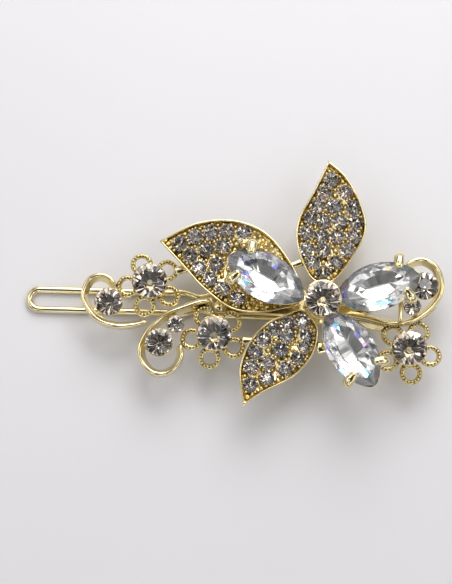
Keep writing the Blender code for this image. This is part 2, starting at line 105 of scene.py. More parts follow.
# Rows of stones that each petal is paved with: the first, middle and last centre, and the count.
PAVE_ROWS = {
    "left": [((-9.4, 8.7), (-4.3, 10.8), (1.3, 11.0), 5), ((-7.6, 6.7), (-4.1, 2.8), (0.6, -0.4), 5),
             ((-4.9, 7.8), (-3.5, 8.2), (-2.1, 8.5), 2), ((-3.2, 5.3), (-3.2, 5.3), (-3.2, 5.3), 1)],
    "top": [((15.9, 20.7), (14.3, 17.3), (12.6, 13.9), 4), ((11.9, 11.3), (12.5, 7.2), (14.9, 4.4), 4),
            ((18.4, 18.6), (20.2, 12.1), (16.9, 6.2), 6), ((16.5, 16.1), (17.5, 13.5), (17.1, 10.8), 3),
            ((14.9, 13.4), (14.5, 10.8), (14.9, 8.3), 3)],
    "lower": [((7.0, -5.6), (3.9, -9.6), (3.1, -15.2), 5), ((11.6, -4.2), (11.5, -9.6), (5.9, -14.0), 6),
              ((9.2, -4.6), (8.6, -8.0), (5.9, -11.4), 4)],
}

# Bead grains on a petal's floor: radius, how far they keep from a stone's centre, and how far their tops are
# below the rim.
GRAIN_SIZES = [(0.44, 1.8, 0.5), (0.33, 1.7, 0.5), (0.24, PAVE_STONE_RADIUS + 0.04, 0.12)]
GRAIN_ROOM = 1.16
GRAIN_TO_EDGE = 0.42
GRAIN_ROOT = 2.5

# Large crystals: centre, and the direction of the end that points away from the hub.
CRYSTALS = {"left": ((5.2, 2.8), 151), "right": ((24.1, 1.7), 17), "lower": ((19.75, -9.2), -57)}

# A claw, from the cup's wall out and over the stone's edge: how far out from that edge, and how far up.
CLAW_BENDS = [(-0.5, -1.5), (0.4, -0.85), (0.95, 0.0), (0.95, 0.75), (0.45, 1.2), (-0.3, 1.4), (-0.95, 1.5)]
CLAW_ALONG = 4.4
CLAW_RADIUS = 0.43
CLAW_FLATNESS = (1.1, 1.85)

# Florets: centre, and the direction of the first of five rings.
FLORETS = {"upper": ((-14.3, 2.0), 42), "lower": ((-3.2, -6.7), 44), "right": ((29.5, -8.3), 62)}
FLORET_RINGS = 5
RING_ORBIT = 3.8
RING_RADIUS = 1.5
RING_WIRE_RADIUS = 0.27
RING_FLATNESS = (1.65, 0.9)
RING_BEADS = 17
RING_BEAD_RADIUS = 0.25
RING_BEAD_RISE = 0.28
DISC_PROFILE = [(0.05, -0.22), (2.5, -0.22), (2.68, -0.12), (2.7, 0.05), (2.6, 0.2), (2.3, 0.25),
                (0.05, 0.25)]
DISC_BEADS = 14
DISC_BEAD_RADIUS = 0.22
DISC_BEAD_ORBIT = 2.45
DISC_BEAD_RISE = 0.3

SCROLL_PATHS = {
    "left": [(-20.1, 1.5), (-21.2, 2.8), (-22.9, 3.3), (-24.7, 2.4), (-25.6, 0.0), (-24.8, -2.4),
             (-22.7, -4.6), (-19.6, -5.5), (-16.5, -5.2), (-14.5, -4.5)],
    "lower": [(-3.9, -0.6), (-5.9, -0.95), (-8.4, -1.9), (-11.4, -3.2), (-14.0, -5.6), (-15.5, -8.4),
              (-15.4, -10.9), (-13.7, -13.1), (-11.4, -13.5), (-9.4, -12.2), (-8.5, -10.2), (-8.9, -8.3)],
    "right": [(18.8, -2.3), (22.6, -2.9), (26.0, -3.6), (29.4, -3.4), (32.4, -1.8), (34.6, 1.0),
              (35.1, 3.6), (34.2, 6.2), (32.0, 7.6), (29.9, 7.2), (28.9, 6.3)],
}
# The band's section, across (towards the open side of the curl) and up: a ridge, then a sloped flange.
BAND_SECTION = [(-0.26, 0.0), (0.66, 0.0), (0.74, 0.08), (0.76, 0.3), (0.7, 0.46), (0.36, 0.95), (0.31, 1.3),
                (0.2, 1.44), (0.02, 1.5), (-0.16, 1.45), (-0.27, 1.3), (-0.3, 0.9), (-0.3, 0.1)]
# How much broader than its section a band is at its ends, how much more in its middle, and along its beads.
BAND_BREADTH = 1.1
BAND_SWELL = 0.16
BEADED_BREADTH = 1.18
# Where a band carries a row of beads: the part of its length that it runs along, and how far across and up.
BEADED_EDGES = {"lower": (0.03, 0.2, -0.3, 1.2), "right": (0.05, 0.46, -0.36, 1.05)}
EDGE_BEAD_SPACING = 0.42
EDGE_BEAD_RADIUS = 0.18

SCROLL_STONES = {
    "left": ((-21.1, -1.6), 2.42),
    "lower_large": ((-12.4, -8.3), 2.42),
    "lower_small": ((-9.7, -5.1), 1.52),
    "right_large": ((32.1, 2.7), 2.38),
    "right_small": ((30.0, -0.9), 1.5),
}

# Soldered links: two ends, width, and bottom and top height.
LINKS = {
    "branch_floret_to_left_petal": ((-9.7, 4.5), (-7.4, 5.3), 1.4, 4.9, 5.85),
    "branch_floret_to_flower": ((-2.6, -1.7), (-1.4, 0.4), 1.5, 4.9, 5.85),
    "branch_floret_to_lower_petal": ((1.9, -7.3), (3.6, -7.3), 1.2, 4.9, 5.85),
    "bridge_left_to_top_petal": ((9.6, 5.5), (10.9, 6.1), 1.2, 6.3, 7.3),
    "arm_right_crystal": ((17.8, 0.2), (24.6, 1.9), 2.4, 6.4, 7.65),
    "arm_lower_crystal": ((16.5, -3.6), (20.0, -9.2), 2.4, 6.4, 7.65),
    "lug_lower_petal": ((14.5, -8.5), (16.9, -8.2), 1.8, 6.3, 7.3),
    "strut_right_crystal": ((28.05, -3.2), (28.05, -0.6), 0.7, 6.4, 7.4),
}
# A link's cast form: how far each end runs on into its neighbour, half its breadth for its width, how round
# its section is (0 is square, 1 is an ellipse), and how much it narrows in its middle and at its very ends.
LINK_OVERRUN = 0.4
LINK_BREADTH = 0.62
LINK_ROUNDNESS = 0.8
LINK_WAIST = 0.12
LINK_TUCK = 0.18

STEM_WEB = [(20.5, -3.1), (23.0, -3.5), (25.4, -3.95), (25.0, -4.9), (24.3, -4.9), (23.2, -4.75),
            (22.2, -4.4)]

# Each cut: its sections, the table's width as a part of the stone's, the crown's height, the girdle's
# thickness, the pavilion's depth, and the keel's width as a part of the stone's. Heights are in radii for a
# round stone and in millimetres for a crystal.
PAVE_CUT = (8, 0.48, 0.34, 0.04, 0.8, 0.05)
CHATON_CUT = (8, 0.46, 0.36, 0.03, 0.87, 0.05)
CRYSTAL_CUT = (10, 0.6, 1.1, 0.14, 0.85, 0.35)
STAR_WIDTH = 0.8
# Tiers of small pavilion facets: how far out, how deep, and how far turned.
FLASH_TIERS = [(0.76, 0.42, 0.5), (0.48, 0.76, 0)]
# How far stones lean in their seats, in degrees.
PAVE_LEAN = 5
CHATON_LEAN = 1.5

# Facet tints, each with its share, in two groups that take turns round a stone: painted reflections on the
# foil behind a stone. Its light, grey and dark facets stand in for what each facet mirrors, and its coloured
# ones for flashes of fire.
ROUND_FACET_REFLECTIONS = ([((0.99, 0.97, 0.92), 6), ((0.97, 0.88, 0.80), 3), ((0.95, 0.95, 0.97), 1)],
               [((0.60, 0.56, 0.53), 4), ((0.77, 0.73, 0.68), 4), ((0.88, 0.77, 0.68), 2),
                ((0.52, 0.64, 0.92), 0.3)])
CRYSTAL_FACET_REFLECTIONS = ([((1.0, 0.99, 0.97), 6), ((0.87, 0.87, 0.88), 3)],
               [((0.94, 0.93, 0.91), 5), ((0.76, 0.76, 0.78), 3), ((0.52, 0.52, 0.54), 1)])
CRYSTAL_FLASH_REFLECTIONS = ([((1.0, 0.99, 0.97), 8), ((0.80, 0.81, 0.84), 4), ((0.36, 0.38, 0.42), 1.5),
                ((0.30, 0.80, 1.0), 0.9), ((1.0, 0.80, 0.42), 0.6)],
               [((0.98, 0.97, 0.96), 6), ((0.74, 0.75, 0.78), 4), ((0.34, 0.36, 1.0), 0.7),
                ((0.85, 0.60, 0.9), 0.6), ((0.42, 0.44, 0.48), 1)])


# ---------------------------------------------------------------- materials

# Noise scales, in features to the metre.
PLATING_DRIFT = 260
GLASS_DRIFT = 500
GLASS_POLISH = 1500
FOIL_WEAR = 900
BOARD_DRIFT = 12
BOARD_GRAIN = 400
# How open a place is to the air where the painted shade in a recess is full, and where there is none.
FULL_SHADE_AIR = 0.55
NO_SHADE_AIR = 0.93


def new_material(name):
    material = bpy.data.materials.new(name)
    material.use_nodes = True
    return material, material.node_tree.nodes, material.node_tree.links


def noise(nodes, links, scale, detail=2.0):
    """Noise over the piece, with `scale` features in each metre."""
    place = nodes.new("ShaderNodeTexCoord")
    texture = nodes.new("ShaderNodeTexNoise")
    texture.inputs["Scale"].default_value = scale
    texture.inputs["Detail"].default_value = detail
    links.new(place.outputs["Object"], texture.inputs["Vector"])
    return texture.outputs["Fac"]


def spread(nodes, links, value, low, high):
    """The middle of a noise's range stretched between two numbers."""
    remap = nodes.new("ShaderNodeMapRange")
    remap.inputs["From Min"].default_value = 0.3
    remap.inputs["From Max"].default_value = 0.7
    remap.inputs["To Min"].default_value = low
    remap.inputs["To Max"].default_value = high
    links.new(value, remap.inputs["Value"])
    return remap.outputs["Result"]


def blend_colours(nodes, links, value, first, second):
    mix = nodes.new("ShaderNodeMix")
    mix.data_type = "RGBA"
    mix.inputs[6].default_value = (*first, 1)
    mix.inputs[7].default_value = (*second, 1)
    links.new(value, mix.inputs["Factor"])
    return mix.outputs[2]


def gold(name, colour, deep, roughness, grain, depth, recess=0.3, recess_shade_colour=(0.42, 0.31, 0.12)):
    """Plated metal: its colour drifts over some millimetres and is darkened as painted shade in recesses up
    to
    `recess` millimetres wide, and fine grain sets its gloss and its relief."""
    material, nodes, links = new_material(name)
    shader = nodes["Principled BSDF"]
    shader.inputs["Metallic"].default_value = 1.0
    drift = spread(nodes, links, noise(nodes, links, PLATING_DRIFT), 0, 1)
    plated = blend_colours(nodes, links, drift, colour, deep)
    # Painted shade: ambient occlusion darkens the colour towards the last colour given, where shade falls in
    # recesses.
    open_air = nodes.new("ShaderNodeAmbientOcclusion")
    open_air.samples = 4
    open_air.inputs["Distance"].default_value = recess * MM
    shade = nodes.new("ShaderNodeMapRange")
    shade.inputs["From Min"].default_value = FULL_SHADE_AIR
    shade.inputs["From Max"].default_value = NO_SHADE_AIR
    links.new(open_air.outputs["AO"], shade.inputs["Value"])
    shaded_colour = nodes.new("ShaderNodeMix")
    shaded_colour.data_type = "RGBA"
    shaded_colour.inputs[6].default_value = (*recess_shade_colour, 1)
    links.new(shade.outputs["Result"], shaded_colour.inputs["Factor"])
    links.new(plated, shaded_colour.inputs[7])
    links.new(shaded_colour.outputs[2], shader.inputs["Base Color"])
    fine = noise(nodes, links, grain, 4)
    links.new(spread(nodes, links, fine, roughness * 0.7, roughness * 1.4), shader.inputs["Roughness"])
    bump = nodes.new("ShaderNodeBump")
    bump.inputs["Distance"].default_value = depth * MM
    bump.inputs["Strength"].default_value = 0.5
    links.new(fine, bump.inputs["Height"])
    links.new(bump.outputs["Normal"], shader.inputs["Normal"])
    return material


def glass(name, colour, other, index):
    """Cut lead glass, very slightly uneven in tint and polish."""
    material, nodes, links = new_material(name)
    shader = nodes["Principled BSDF"]
    shader.inputs["Transmission Weight"].default_value = 1.0
    shader.inputs["IOR"].default_value = index
    tint = spread(nodes, links, noise(nodes, links, GLASS_DRIFT), 0, 1)
    links.new(blend_colours(nodes, links, tint, colour, other), shader.inputs["Base Color"])
    polish = spread(nodes, links, noise(nodes, links, GLASS_POLISH), 0.0, 0.03)
    links.new(polish, shader.inputs["Roughness"])
    return material


def foil(name, roughness, mirror):
    """The foil behind a stone, with painted reflections tinted facet by facet. `mirror` is how far it is a
    mirror and not white.
    """
    material, nodes, links = new_material(name)
    shader = nodes["Principled BSDF"]
    shader.inputs["Metallic"].default_value = mirror
    tint = nodes.new("ShaderNodeVertexColor")
    tint.layer_name = "tint"
    links.new(tint.outputs["Color"], shader.inputs["Base Color"])
    wear = spread(nodes, links, noise(nodes, links, FOIL_WEAR), roughness * 0.5, roughness * 1.5)
    links.new(wear, shader.inputs["Roughness"])
    return material


PALE = (0.92, 0.82, 0.53)
DEEP = (0.83, 0.69, 0.35)
FINISHES = {
    # Where a finish gives a last colour, that is its painted shade in recesses: near black between the
    # milgrain beads, a darker gold between the petal grains. The others take the default painted shade.
    "spring_wire": gold("wire_gold", (0.92, 0.83, 0.56), (0.85, 0.73, 0.42), 0.09, 1200, 0.003),
    "pressed_strip": gold("strip_gold", (0.89, 0.79, 0.49), (0.79, 0.65, 0.34), 0.2, 2200, 0.010),
    "scroll_gold": gold("scroll_gold", PALE, DEEP, 0.09, 900, 0.005),
    "milgrain_gold": gold("milgrain_gold", (0.90, 0.78, 0.44), (0.79, 0.63, 0.28), 0.12, 2500, 0.005,
                           0.45, (0.05, 0.035, 0.01)),
    "petal_gold": gold("petal_gold", (0.89, 0.78, 0.47), (0.79, 0.65, 0.33), 0.12, 2000, 0.006, 0.3,
                       (0.70, 0.55, 0.24)),
    "setting_gold": gold("setting_gold", PALE, DEEP, 0.09, 900, 0.005),
}
STONE_FINISHES = {
    "pave_stones": (glass("pave_glass", (1.0, 0.99, 0.97), (0.97, 0.94, 0.92), 1.56),
                    foil("pave_foil", 0.05, 1.0)),
    "foiled_chaton": (glass("chaton_glass", (1.0, 0.99, 0.97), (0.97, 0.95, 0.93), 1.56),
                      foil("chaton_foil", 0.04, 1.0)),
    "clear_crystal": (glass("crystal_glass", (1.0, 1.0, 1.0), (0.99, 0.98, 0.96), 1.6),
                      foil("crystal_foil", 0.04, 0.75)),
}


# ---------------------------------------------------------------- shapes

def piece(name, bm, materials, replaced, body="clip", crease=35):
    """Makes one finished piece from a shape in millimetres along the clip."""
    bmesh.ops.remove_doubles(bm, verts=bm.verts, dist=0.0005)
    bmesh.ops.recalc_face_normals(bm, faces=bm.faces)
    for vert in bm.verts:
        vert.co = (vert.co + SHIFT) * MM
    mesh = bpy.data.meshes.new(name)
    bm.to_mesh(mesh)
    bm.free()
    if crease:
        mesh.shade_smooth()
        mesh.set_sharp_from_angle(angle=math.radians(crease))
    for material in materials:
        mesh.materials.append(material)
    obj = bpy.data.objects.new(name, mesh)
    bpy.context.scene.collection.objects.link(obj)
    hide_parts(*replaced)
    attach(obj, body)
    return obj


def metal_piece(name, bm, slot, replaced, body="clip", crease=35):
    return piece(name, bm, [FINISHES[slot]], replaced, body, crease)


def smooth_path(points, steps):
    """Points on a Catmull-Rom curve through the given ones, with `steps` from each to the next."""
    points = [Vector(point) for point in points]
    padded = [points[0], *points, points[-1]]
    path = []
    for before, start, end, after in zip(padded, padded[1:], padded[2:], padded[3:]):
        for step in range(steps):
            t = step / steps
            path.append(0.5 * (2 * start + (end - before) * t
                               + (2 * before - 5 * start + 4 * end - after) * t**2
                               + (3 * start - before - 3 * end + after) * t**3))
    path.append(points[-1])
    return path


def lifted(point, height):
    return Vector((point[0], point[1], height))


def loft(bm, rings, closed=False, capped=True):
    """Skins ring after ring of points, and closes the ends unless it joins end to end."""
    rows = [[bm.verts.new(point) for point in ring] for ring in rings]
    pairs = list(zip(rows, rows[1:]))
    if closed:
        pairs.append((rows[-1], rows[0]))
    for here, there in pairs:
        for index in range(len(here)):
            after = (index + 1) % len(here)
            bm.faces.new((here[index], here[after], there[after], there[index]))
    if capped and not closed:
        bm.faces.new(list(reversed(rows[0])))
        bm.faces.new(rows[-1])
    return rows


def tangents(path, closed=False):
    count = len(path)
    found = []
    for index in range(count):
        before = path[index - 1] if closed or index else path[0]
        after = path[(index + 1) % count] if closed or index < count - 1 else path[-1]
        found.append((after - before).normalized())
    return found


def tube(bm, path, radius, sides=12, across=UP, closed=False, taper=None, flat=(1, 1)):
    """A wire along a path, with domed ends. `across` is any direction that it never runs along, and
    `flat` widens the wire square to that direction and along it."""
    rings = []
    directions = tangents(path, closed)
    places = list(zip(path, directions, [radius] * len(path)))
    if taper:
        places = [(p, d, radius * taper(i / (len(path) - 1))) for i, (p, d, _) in enumerate(places)]
    if not closed:
        for end, sign in ((0, -1), (-1, 1)):
            point, direction, size = places[end]
            dome = [(point + direction * sign * size * math.sin(a), direction, size * math.cos(a))
                    for a in (0.5, 1.0, 1.35)]
            places = list(reversed(dome)) + places if end == 0 else places + dome
    for point, direction, size in places:
        side = direction.cross(across).normalized()
        up = side.cross(direction)
        rings.append([point + (side * math.cos(a) * flat[0] + up * math.sin(a) * flat[1]) * size
                      for a in (math.tau * i / sides for i in range(sides))])
    loft(bm, rings, closed)


def turned(bm, profile, centre, base_z, steps):
    """Turns a profile of radii and heights round a vertical axis."""
    rings = [[Vector((centre[0] + radius * math.cos(a), centre[1] + radius * math.sin(a), base_z + z))
              for a in (math.tau * i / steps for i in range(steps))] for radius, z in profile]
    loft(bm, rings)


def bead_shape():
    bm = bmesh.new()
    bmesh.ops.create_icosphere(bm, subdivisions=2, radius=1)
    bm.verts.index_update()
    shape = [vert.co.copy() for vert in bm.verts], [[v.index for v in face.verts] for face in bm.faces]
    bm.free()
    return shape


BEAD = bead_shape()


def beads(bm, places, radius, root=1.0):
    """Small cast grains with round tops. The lower half of each is `root` times as deep as it is wide."""
    points, faces = BEAD
    for place in places:
        verts = [bm.verts.new(place + Vector((p.x, p.y, p.z * (root if p.z < 0 else 1))) * radius)
                 for p in points]
        for face in faces:
            bm.faces.new([verts[index] for index in face])


def along_path(path, spacing):
    """Evenly spaced places along a path, each with its direction."""
    found = []
    left_over = 0.0
    for start, end in zip(path, path[1:]):
        step = (end - start).length
        while left_over < step:
            found.append((start.lerp(end, left_over / step), (end - start).normalized()))
            left_over += spacing
        left_over -= step
    return found


# ---------------------------------------------------------------- stones

def facet_tint(dice, tints):
    colour = dice.choices([tint for tint, _ in tints], [share for _, share in tints])[0]
    light = dice.uniform(0.85, 1.0)
    return (*[min(1.0, part * light) for part in colour], 1.0)


def cut_stone(bm, outline, placing, cut, tints, dice, flashes=None):
    """A stone cut on any outline: table, stars, kites and girdle facets, then a fan of pavilion facets.

    `outline` gives the girdle's edge as its argument runs from 0 to 1, and `cut` holds the cut's proportions.
    With `flashes` the pavilion has tiers of small facets in those tints outside the fan.
    """
    layer = bm.loops.layers.float_color.get("tint") or bm.loops.layers.float_color.new("tint")
    sections, table, crown, girdle, depth, keel = cut
    fold = math.cos(math.pi / sections)
    star_z = crown * (1 - (STAR_WIDTH * fold - table) / (1 - table))
    around = 2 * sections

    def ring(scale, height, offset, count, flatten=1.0):
        points = [outline((index + offset) / count) for index in range(count)]
        return [bm.verts.new(placing @ Vector((x * scale, y * scale * flatten, height))) for x, y in points]

    tables = ring(table, crown, 0, sections)
    stars = ring(STAR_WIDTH, star_z, 0.5, sections)
    edge = ring(1, 0, 0, around)
    under = ring(1, -girdle, 0, around)
    culet = ring(keel, -girdle - depth, 0, around, 0.12 if keel > 0.1 else 1)

    front, back, border = [tuple(tables)], [tuple(reversed(culet))], []
    for k in range(sections):
        k2, after, after2 = 2 * k, (k + 1) % sections, (2 * k + 2) % around
        front += [(tables[k], stars[k], tables[after]), (tables[k], stars[k - 1], edge[k2], stars[k]),
                  (stars[k], edge[k2], edge[k2 + 1]), (stars[k], edge[k2 + 1], edge[after2]),
                  (edge[k2], under[k2], under[k2 + 1], edge[k2 + 1]),
                  (edge[k2 + 1], under[k2 + 1], under[after2], edge[after2])]
    inner = under
    for scale, share, offset in FLASH_TIERS if flashes else ():
        outer, inner = inner, ring(scale, -girdle - depth * share, offset, around)
        shift = 0 if offset else 1
        for k in range(around):
            border += [(outer[k], inner[(k + shift) % around], outer[(k + 1) % around]),
                       (outer[k], inner[(k + shift - 1) % around], inner[(k + shift) % around])]
    for k in range(around):
        after = (k + 1) % around
        back.append((culet[k], culet[after], inner[after], inner[k]))
    # Each facet gets a painted reflection colour from its group.
    for group, material_index, shades in ((front, 0, tints), (back, 1, tints), (border, 1, flashes)):
        for number, corners in enumerate(group):
            face = bm.faces.new(corners)
            face.material_index = material_index
            tint = facet_tint(dice, shades[number % 2])
            for loop in face.loops:
                loop[layer] = tint


def circle(t):
    return math.cos(math.tau * t), math.sin(math.tau * t)


def round_placing(dice, centre, height, radius, lean):
    """Where a round stone of unit size goes, turned at random and leaning by up to `lean`."""
    turn = Euler((dice.uniform(-lean, lean), dice.uniform(-lean, lean), dice.uniform(0, math.tau)))
    return Matrix.Translation(lifted(centre, height)) @ turn.to_matrix().to_4x4() @ Matrix.Scale(radius, 4)


def round_stone(name, centre, height, radius, replaced, seed):
    """A round rhinestone on its own in a cup, very slightly askew."""
    dice = random.Random(seed)
    bm = bmesh.new()
    placing = round_placing(dice, centre, height, radius, math.radians(CHATON_LEAN))
    cut_stone(bm, circle, placing, CHATON_CUT, ROUND_FACET_REFLECTIONS, dice)
    piece(name, bm, STONE_FINISHES["foiled_chaton"], [replaced], crease=0)


def evenly(points, count):
    """Evenly spaced places round a closed outline, starting from its first point."""
    points = [Vector(point) for point in points]
    lengths = [(b - a).length for a, b in zip(points, points[1:] + points[:1])]
    step = sum(lengths) / count
    found, index, gone = [], 0, 0.0
    for number in range(count):
        while gone + lengths[index] < number * step:
            gone += lengths[index]
            index += 1
        part = (number * step - gone) / lengths[index]
        found.append(points[index].lerp(points[(index + 1) % len(points)], part))
    return found


NAVETTE_POINTS = 240


def navette_edge():
    """The navette's edge, evenly spaced from the middle of its outer end, the blunter of its two ends."""
    half, rise = CRYSTAL_LENGTH / 2, CRYSTAL_WIDTH / 2
    radius = (half**2 + rise**2) / (2 * rise)
    swing = math.asin(half / radius)
    outer, inner = 0.93, 0.96
    arc = [swing * (outer - (outer + inner) * index / 60) for index in range(61)]
    upper = [(radius * math.sin(a), radius * math.cos(a) - radius + rise) for a in arc]
    outline = evenly([(upper[0][0], 0), *upper, *[(x, -y) for x, y in reversed(upper)]], NAVETTE_POINTS)
    reach = 5
    near = range(-reach, reach + 1)
    return [sum((outline[(index + step) % NAVETTE_POINTS] for step in near), Vector((0, 0))) / len(near)
            for index in range(NAVETTE_POINTS)]


NAVETTE = navette_edge()


def navette(t):
    return tuple(NAVETTE[round(t * NAVETTE_POINTS) % NAVETTE_POINTS])


def crystal_placing(side, height=0.0):
    centre, angle = CRYSTALS[side]
    return Matrix.Translation(lifted(centre, height)) @ Matrix.Rotation(math.radians(angle), 4, "Z")


def crystal(side, seed):
    dice = random.Random(seed)
    bm = bmesh.new()
    placing = crystal_placing(side, CRYSTAL_GIRDLE_Z + 0.12)
    cut_stone(bm, navette, placing, CRYSTAL_CUT, CRYSTAL_FACET_REFLECTIONS, dice, CRYSTAL_FLASH_REFLECTIONS)
    piece(f"crystal_{side}_gem", bm, STONE_FINISHES["clear_crystal"], [f"crystal_{side}"],
          crease=0)


def stone_cup(name, centre, base_z, girdle_z, radius, lip, replaced):
    """The cup under a round stone: a foot, a flared wall and a rolled lip."""
    rim = girdle_z - base_z - 0.08
    outer = radius + lip
    profile = [(0.05, 0), (0.55 * radius, 0), (0.62 * radius, 0.08), (outer - 0.14, rim - 0.5),
               (outer - 0.02, rim - 0.16), (outer, rim - 0.06), (outer - 0.04, rim + 0.03),
               (outer - 0.13, rim + 0.05), (outer - 0.21, rim - 0.02), (outer - 0.28, rim - 0.2),
               (0.25 * radius, 0.16), (0.05, 0.16)]
    bm = bmesh.new()
    turned(bm, profile, centre, base_z, 40)
    metal_piece(name, bm, "setting_gold", [replaced])


def claw_path(hand, along):
    """From the cup's wall, out and up past the stone's edge, and over its crown."""
    edge_y = max(y for x, y in NAVETTE if abs(x - along) < 0.2) * hand
    edge = Vector((along, edge_y, 0))
    out = Vector((0.3, hand, 0)).normalized()
    return smooth_path([lifted(edge + out * aside, CRYSTAL_GIRDLE_Z + up) for aside, up in CLAW_BENDS], 5)


def claw_taper(t):
    """How thick a claw is along its length: fullest in its middle."""
    return 0.85 + 0.25 * math.sin(math.pi * t)


def crystal_setting(side):
    """A navette cup with a stepped wall, and two claws bent over the end away from the hub."""
    placing = crystal_placing(side)
    edge = NAVETTE[::2]
    rim_z = CRYSTAL_GIRDLE_Z - 0.1
    levels = [(0.5, CRYSTAL_CUP_Z), (0.56, CRYSTAL_CUP_Z + 0.05), (0.9, rim_z - 0.5), (0.985, rim_z - 0.42),
              (1.0, rim_z - 0.35), (1.0, rim_z - 0.03), (0.99, rim_z), (0.95, rim_z), (0.93, rim_z - 0.05),
              (0.9, rim_z - 0.3), (0.4, CRYSTAL_CUP_Z + 0.12)]
    bm = bmesh.new()
    loft(bm, [[placing @ Vector((x * scale, y * scale, z)) for x, y in edge] for scale, z in levels])
    along_stone = placing.to_3x3() @ Vector((1, 0, 0))
    for hand in (-1, 1):
        path = [placing @ point for point in claw_path(hand, CLAW_ALONG)]
        tube(bm, path, CLAW_RADIUS, 16, along_stone, taper=claw_taper, flat=CLAW_FLATNESS)
    metal_piece(f"crystal_{side}_claw_cup", bm, "setting_gold", [f"crystal_{side}_setting"], crease=50)


# ---------------------------------------------------------------- petals

def signed_area(outline):
    return sum(a.x * b.y - b.x * a.y for a, b in zip(outline, outline[1:] + outline[:1]))


def petal_outline(side, steps=8):
    """The petal's edge from its tip, run anticlockwise."""
    points = PETAL_OUTLINES[side]
    outline = smooth_path([*points, points[0]], steps)[:-1]
    return outline if signed_area(outline) > 0 else [outline[0], *reversed(outline[1:])]


def edge_distance(point, outline):
    nearest = 1e9
    for start, end in zip(outline, outline[1:] + outline[:1]):
        side = end - start
        t = max(0.0, min(1.0, (point - start).dot(side) / side.length_squared))
        nearest = min(nearest, (point - start - side * t).length)
    return nearest


def inset(outline, distance):
    """The outline moved inwards. Where it would cross itself, behind a sharp tip, it meets in one point."""
    count = len(outline)
    moved = []
    for index, here in enumerate(outline):
        along = (outline[(index + 1) % count] - outline[index - 1]).normalized()
        moved.append(here + Vector((-along.y, along.x)) * distance)
    if distance <= 0:
        return moved
    crossed = [edge_distance(point, outline) < distance * 0.97 for point in moved]
    first = next(i for i in range(count) if crossed[i - 1] and not crossed[i]) if any(crossed) else 0
    run = []
    for step in range(count):
        index = (first + step) % count
        if crossed[index]:
            run.append(index)
            continue
        if run:
            close_run(moved, run, count)
            run = []
    if run:
        close_run(moved, run, count)
    return moved


def close_run(moved, run, count):
    meeting = (moved[run[0] - 1] + moved[(run[-1] + 1) % count]) / 2
    for index in run:
        moved[index] = meeting.copy()


def pave_centres(side):
    centres = []
    for first, middle, last, count in PAVE_ROWS[side]:
        for index in range(count):
            t = index / max(1, count - 1)
            weights = ((1 - t) * (1 - 2 * t), 4 * t * (1 - t), t * (2 * t - 1))
            centres.append(Vector([sum(w * p[axis] for w, p in zip(weights, (first, middle, last)))
                                   for axis in (0, 1)]))
    return centres


def inside(point, outline):
    crossings = 0
    for start, end in zip(outline, outline[1:] + outline[:1]):
        if (start.y > point.y) != (end.y > point.y):
            crossings += point.x < start.x + (point.y - start.y) * (end.x - start.x) / (end.y - start.y)
    return crossings % 2 == 1


def grain_places(outline, centres, dice):
    """Where beads stand, each with its radius and how far it is sunk: small ones in the gaps between stones,
    and larger ones over the floor that has no stones."""
    low = [min(point[axis] for point in outline) for axis in (0, 1)]
    high = [max(point[axis] for point in outline) for axis in (0, 1)]
    step = 0.25
    spots = [Vector((low[0] + i * step, low[1] + j * step))
             for i in range(int((high[0] - low[0]) / step)) for j in range(int((high[1] - low[1]) / step))]
    spots = [spot for spot in spots if inside(spot, outline)]
    dice.shuffle(spots)
    kept = []
    for size, from_stone, sunk in GRAIN_SIZES:
        for spot in spots:
            if min((spot - centre).length for centre in centres) < from_stone:
                continue
            if any((spot - other).length < (size + radius) * GRAIN_ROOM for other, radius, _ in kept):
                continue
            if edge_distance(spot, outline) > size + GRAIN_TO_EDGE:
                kept.append((spot, size, sunk))
    return kept


def petal(side, seed):
    """The petal's tray with its raised rim and bead grains, and the stones that it is paved with."""
    dice = random.Random(seed)
    outline = petal_outline(side)
    levels = [(0.5, PETAL_BASE_Z), (0.44, PETAL_BASE_Z + 0.08), (0.03, PETAL_RIM_Z - 0.28),
              (0.0, PETAL_RIM_Z - 0.16), (0.02, PETAL_RIM_Z - 0.05), (0.08, PETAL_RIM_Z),
              (0.22, PETAL_RIM_Z), (0.3, PETAL_RIM_Z - 0.05), (0.34, PETAL_RIM_Z - 0.16),
              (0.47, PETAL_FLOOR_Z + 0.1), (0.6, PETAL_FLOOR_Z)]
    bm = bmesh.new()
    loft(bm, [[lifted(point, z) for point in inset(outline, distance)] for distance, z in levels])
    centres = pave_centres(side)
    for spot, radius, sunk in grain_places(outline, centres, dice):
        top = PETAL_RIM_Z - sunk + dice.uniform(-0.04, 0.04)
        beads(bm, [lifted(spot, top - radius)], radius, GRAIN_ROOT)
    metal_piece(f"petal_{side}_tray", bm, "petal_gold", [f"petal_{side}"], crease=40)

    bm = bmesh.new()
    for centre in centres:
        nearest = min((centre - other).length for other in centres if other is not centre)
        radius = min(PAVE_STONE_RADIUS, 0.52 * nearest)
        placing = round_placing(dice, centre, PAVE_GIRDLE_Z, radius, math.radians(PAVE_LEAN))
        cut_stone(bm, circle, placing, PAVE_CUT, ROUND_FACET_REFLECTIONS, dice)
    piece(f"petal_{side}_pave", bm, STONE_FINISHES["pave_stones"], [f"petal_{side}_stones"],
          crease=0)


# ---------------------------------------------------------------- metalwork

